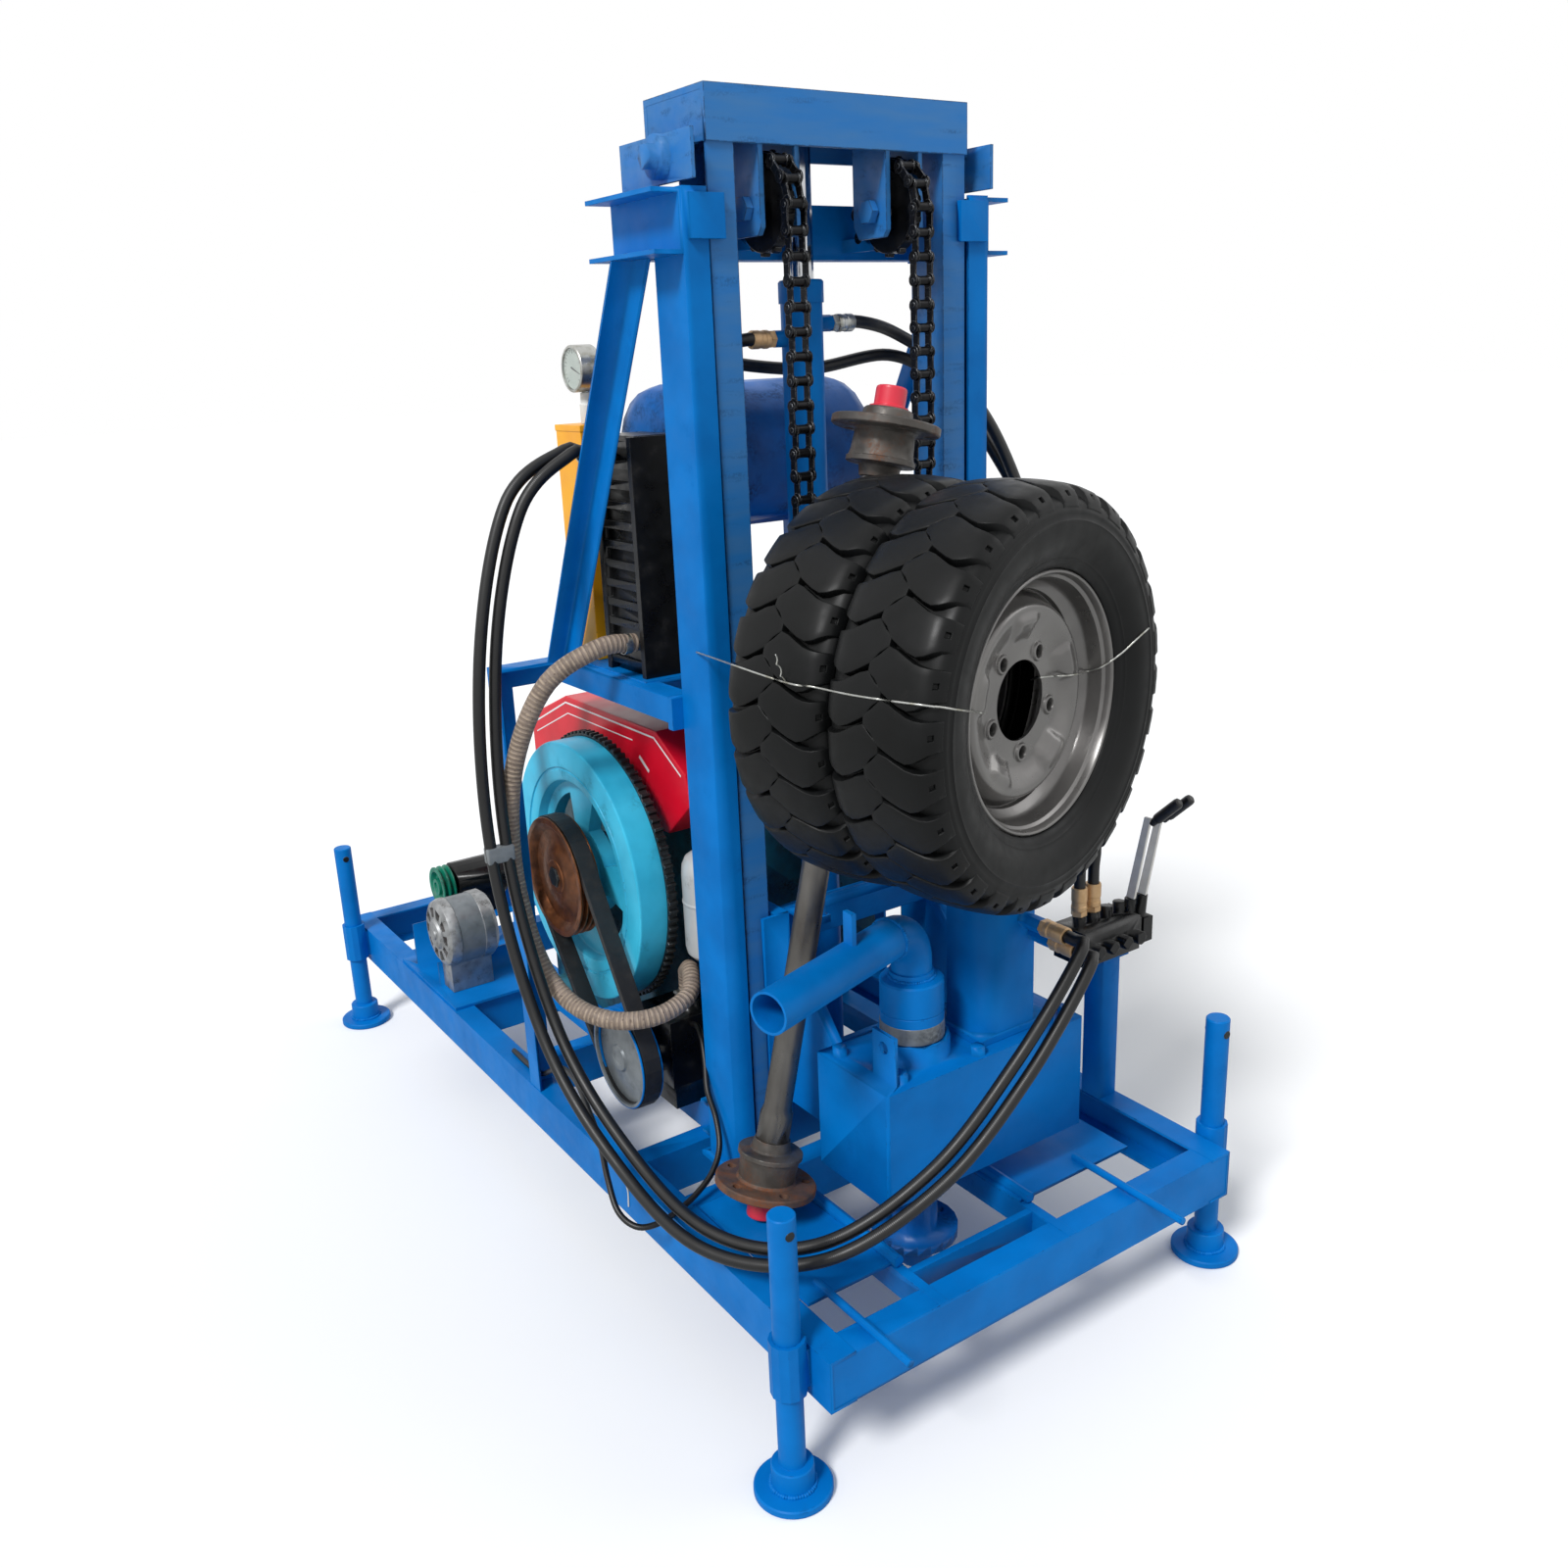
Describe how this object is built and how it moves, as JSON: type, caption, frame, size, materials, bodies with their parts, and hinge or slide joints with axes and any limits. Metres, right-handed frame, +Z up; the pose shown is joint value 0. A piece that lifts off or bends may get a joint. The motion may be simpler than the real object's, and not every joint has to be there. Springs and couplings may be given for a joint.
{
  "type": "portable hydraulic water well drilling rig",
  "caption": "Small diesel-hydraulic water well drilling rig on four jack legs, with a telescopic mast, a drill head and its road wheels stowed on the mast.",
  "frame": {"origin": "on the floor under the middle of the rig's outline, hoses left out", "axes": "+Z up; -Y is the drilling side; +X is the side of the valve levers"},
  "size_m": [0.992, 2.0131, 1.813],
  "materials": {
    "blue_paint": "gloss",
    "red_paint": "gloss",
    "turquoise_paint": "satin",
    "teal_paint": "satin",
    "grey_paint": "satin",
    "orange_paint": "satin",
    "green_paint": "satin",
    "black_paint": "satin",
    "black_steel": "satin",
    "bright_steel": "polished",
    "cast_iron": "matte",
    "copper": "satin",
    "aluminium": "satin",
    "rim_silver": "satin",
    "tyre_rubber": "matte",
    "hose_rubber": "satin",
    "braided_hose": "matte"
  },
  "bodies": {
    "base": {"base_frame": "blue_paint", "deck_plate_left": "blue_paint", "deck_plate_right": "blue_paint", "outer_mast": "blue_paint", "lift_cylinder": "blue_paint", "upper_frame": "blue_paint", "hydraulic_tank": "blue_paint", "oil_cooler": "black_paint", "orange_box": "orange_paint", "pressure_gauge": "grey_paint", "engine_block": "teal_paint", "engine_hood": "red_paint", "air_cleaner": "grey_paint", "exhaust_pipe": "cast_iron", "drive_belts": "hose_rubber", "hydraulic_pump": "black_paint", "accessory_beam": "blue_paint", "alternator": "aluminium", "small_pump": "black_paint", "valve_stand": "blue_paint", "control_valve": "black_paint", "lever_1": "grey_paint", "lever_2": "grey_paint", "motor_hose_1": "hose_rubber", "motor_hose_2": "hose_rubber", "suction_hose": "braided_hose", "lift_hose_1": "hose_rubber", "lift_hose_2": "hose_rubber"},
    "flywheel_body": {"flywheel": "turquoise_paint", "ring_gear": "black_steel", "drive_pulley": "copper"},
    "pump_shaft": {"pump_pulley": "cast_iron"},
    "small_pump_shaft": {"small_pump_pulley": "green_paint"},
    "mast_stage": {"inner_mast": "blue_paint", "cylinder_rod": "bright_steel", "chain_left": "black_steel", "chain_right": "black_steel", "sprocket_left": "black_steel", "sprocket_right": "black_steel"},
    "drill_head": {"carriage": "blue_paint", "gearbox": "blue_paint", "motor_housing": "blue_paint", "water_swivel": "blue_paint", "tyre_front": "tyre_rubber", "tyre_rear": "tyre_rubber", "rim_front": "rim_silver", "rim_rear": "rim_silver", "axle_tube": "cast_iron"},
    "spindle_body": {"spindle": "blue_paint"},
    "hub_lower": {"hub_lower_end": "cast_iron"},
    "hub_upper": {"hub_upper_end": "cast_iron"},
    "leg_front_left": {"jack_leg_front_left": "blue_paint"},
    "leg_front_right": {"jack_leg_front_right": "blue_paint"},
    "leg_rear_left": {"jack_leg_rear_left": "blue_paint"},
    "leg_rear_right": {"jack_leg_rear_right": "blue_paint"}
  },
  "joints": [
    {"name": "mast_lift", "type": "slide", "parent": "base", "child": "mast_stage", "axis": [0, 0, 1], "range_m": [0, 0.86]},
    {"name": "head_lift", "type": "slide", "parent": "mast_stage", "child": "drill_head", "axis": [0, 0, 1], "range_m": [0, 0.86], "deforming": ["chain_left", "chain_right"]},
    {"name": "spindle_turn", "type": "hinge", "parent": "drill_head", "child": "spindle_body", "pos_m": [-0.078, -0.6985, 0.172], "axis": [0, 0, 1], "continuous": true},
    {"name": "flywheel_turn", "type": "hinge", "parent": "base", "child": "flywheel_body", "pos_m": [-0.308, -0.0735, 0.642], "axis": [1, 0, 0], "continuous": true},
    {"name": "pump_turn", "type": "hinge", "parent": "base", "child": "pump_shaft", "pos_m": [-0.3503, -0.2655, 0.378], "axis": [1, 0, 0], "continuous": true},
    {"name": "small_pump_turn", "type": "hinge", "parent": "base", "child": "small_pump_shaft", "pos_m": [-0.322, 0.6215, 0.402], "axis": [1, 0, 0], "continuous": true},
    {"name": "hub_lower_turn", "type": "hinge", "parent": "drill_head", "child": "hub_lower", "pos_m": [-0.3, -0.6035, 0.2402], "axis": [0.2476, 0.0244, 0.9686], "continuous": true},
    {"name": "hub_upper_turn", "type": "hinge", "parent": "drill_head", "child": "hub_upper", "pos_m": [0.004, -0.5735, 1.43], "axis": [0.2476, 0.0244, 0.9686], "continuous": true},
    {"name": "leg_front_left_slide", "type": "slide", "parent": "base", "child": "leg_front_left", "axis": [0, 0, 1], "range_m": [-0.17, 0]},
    {"name": "leg_front_right_slide", "type": "slide", "parent": "base", "child": "leg_front_right", "axis": [0, 0, 1], "range_m": [-0.17, 0]},
    {"name": "leg_rear_left_slide", "type": "slide", "parent": "base", "child": "leg_rear_left", "axis": [0, 0, 1], "range_m": [-0.17, 0]},
    {"name": "leg_rear_right_slide", "type": "slide", "parent": "base", "child": "leg_rear_right", "axis": [0, 0, 1], "range_m": [-0.17, 0]}
  ],
  "couplings": [
    {"joint": "head_lift", "follows": "mast_lift", "ratio": 1},
    {"joint": "pump_turn", "follows": "flywheel_turn", "ratio": 1.2209}
  ]
}
